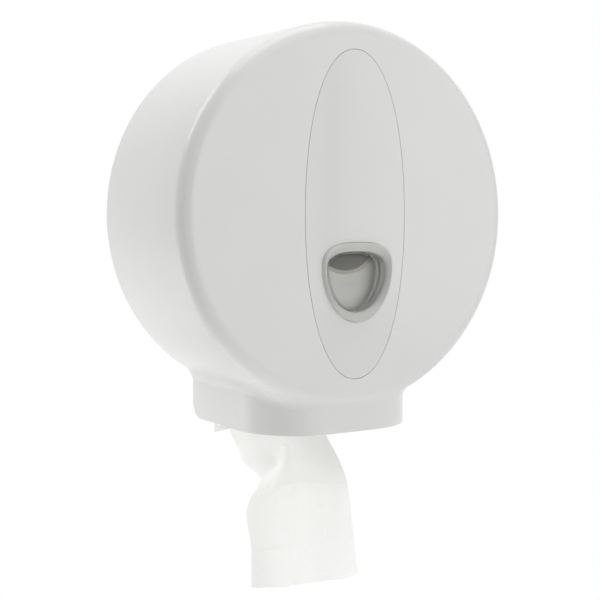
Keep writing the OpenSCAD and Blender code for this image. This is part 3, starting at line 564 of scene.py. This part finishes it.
def paper_point(v, u):
    """A point of the paper, in metres, and the way out of the sheet there: v counts the lines from
    the top, u goes from the left edge to the right."""
    left_x, left_out, left_z, right_x, right_out, right_z, height = tail_line(v)
    left = Vector((left_x, -left_out - ROLL_REAR, left_z))
    right = Vector((right_x, -right_out - ROLL_REAR, right_z))
    out = Vector((right.y - left.y, left.x - right.x, 0)).normalized()
    swell = height * (math.sin(math.pi * u) + SHOULDERS * math.sin(3 * math.pi * u))
    return (left + (right - left) * u + out * swell) * MM, out


def nearest_on(line, v, u):
    """Distance in millimetres from (v, u) to a line of points, and how far the spot is on its lower
    side: from 0, straight above it, to 1, straight below."""
    best, below = math.inf, 0.5
    for (v0, u0), (v1, u1) in zip(line, line[1:]):
        along = Vector(((v1 - v0) * LINE_MM, (u1 - u0) * SHEET_W))
        spot = Vector(((v - v0) * LINE_MM, (u - u0) * SHEET_W))
        t = min(max(spot.dot(along) / along.length_squared, 0), 1)
        gap = spot - along * t
        if gap.length < best:
            best = gap.length
            crossed = gap.x * along.y - gap.y * along.x
            below = 0.5 + 0.5 * crossed / max(best * along.length, 1e-9)
    return best, below


def pressed(v, u):
    """How far the forms lift the sheet at (v, u), in millimetres."""
    total = 0
    for line, height, above_w, below_w in PAPER_FORMS:
        gap, below = nearest_on(line, v, u)
        total += height * math.exp(-(gap / (above_w + (below_w - above_w) * below)) ** 2)
    return total


def torn_edge(u):
    """How far the torn lower edge strays from straight, in millimetres."""
    return sum(height * math.sin(across * u + start) for height, across, start in TORN_WAVES)


def grid_faces(first, rows, columns):
    """The faces of a grid of points, of which the first has this number."""
    corners = [first + i * (columns + 1) + j for i in range(rows) for j in range(columns)]
    return [(k, k + 1, k + columns + 2, k + columns + 1) for k in corners]


def folded_corner():
    """The points of the folded corner, in metres."""
    a, b, c, d = (Vector(corner) for corner in FOLD_CORNERS)
    points = []
    for i in range(FOLD_STEPS + 1):
        for j in range(FOLD_STEPS + 1):
            s, t = i / FOLD_STEPS, j / FOLD_STEPS
            spot = a.lerp(b, t).lerp(d.lerp(c, t), s)
            spot += FOLD_BULGE * math.sin(math.pi * t) * (1 + s)
            points.append(spot * MM)
    return points


def hanging_paper():
    points = []
    for i in range(TAIL_ROWS + 1):
        v = LAST_LINE * i / TAIL_ROWS
        torn = max(v - LAST_LINE + TORN_FADE, 0) / TORN_FADE
        for j in range(TAIL_COLUMNS + 1):
            u = j / TAIL_COLUMNS
            point, out = paper_point(v, u)
            point += out * pressed(v, u) * MM
            point.z += torn_edge(u) * torn * MM
            points.append(point)
    faces = grid_faces(0, TAIL_ROWS, TAIL_COLUMNS) + grid_faces(len(points), FOLD_STEPS, FOLD_STEPS)
    return mesh_piece("hanging_paper", points + folded_corner(), faces, tissue)


# It is as wide as the roll, and 220 mm long from where it leaves the roll to its torn edge.
paper = hanging_paper()
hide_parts("tissue_tail")
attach(paper, "base")
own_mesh(paper)


# ---------------------------------------------------------------- the wound roll
ROLL_SIDES = 160
END_RINGS = 44
END_RIM = 1.2
RING_INSET = 0.35
RING_WANDER = 0.3
# Two points of the rounded edge: how far in from the full radius and from the end.
ROUNDED_EDGE = [(0.3, 0.5), (0.0, 1.4)]
# Faces within this of the full radius are the outside of the paper, and the others its wound edge.
OUTER_LAYER = 0.5


def end_ring(k, face, inward, quick, slow, start):
    """One ring of an end: its radius and its distance from the wall. Each stands a little in or out
    of the next, as wound paper does, in a wander with a quick and a slow beat."""
    radius = ROLL_BORE + (ROLL_R - END_RIM - ROLL_BORE) * k / END_RINGS
    wander = RING_WANDER * math.sin(k * quick + start) * math.sin(k * slow)
    return radius, face + inward * (RING_INSET + wander)


def roll_profile():
    """Half the section through the roll, as a closed line of radius and distance from the wall."""
    rings = range(END_RINGS + 1)
    rear = [end_ring(k, ROLL_REAR, 1, quick=2.1, slow=0.37, start=0) for k in rings]
    front = [end_ring(k, ROLL_FRONT, -1, quick=1.7, slow=0.41, start=1) for k in reversed(rings)]
    rear_edge = [(ROLL_R - cut, ROLL_REAR + along) for cut, along in ROUNDED_EDGE]
    front_edge = [(ROLL_R - cut, ROLL_FRONT - along) for cut, along in reversed(ROUNDED_EDGE)]
    return rear + rear_edge + front_edge + front


def wound_roll():
    profile = roll_profile()
    count = len(profile)
    points, faces = [], []
    for side in range(ROLL_SIDES):
        turn = 2 * math.pi * side / ROLL_SIDES
        for r, h in profile:
            points.append((r * math.cos(turn) * MM, -h * MM, (r * math.sin(turn) + ROLL_Z) * MM))
        here, there = side * count, (side + 1) % ROLL_SIDES * count
        for k in range(count):
            m = (k + 1) % count
            faces.append((here + k, here + m, there + m, there + k))
    piece = mesh_piece("wound_roll", points, faces, roll_edge)
    piece.data.materials.append(tissue)
    for face in piece.data.polygons:
        if math.hypot(face.center.x, face.center.z - ROLL_Z * MM) > (ROLL_R - OUTER_LAYER) * MM:
            face.material_index = 1
    return piece


roll = wound_roll()
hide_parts("paper_roll")
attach(roll, "roll")
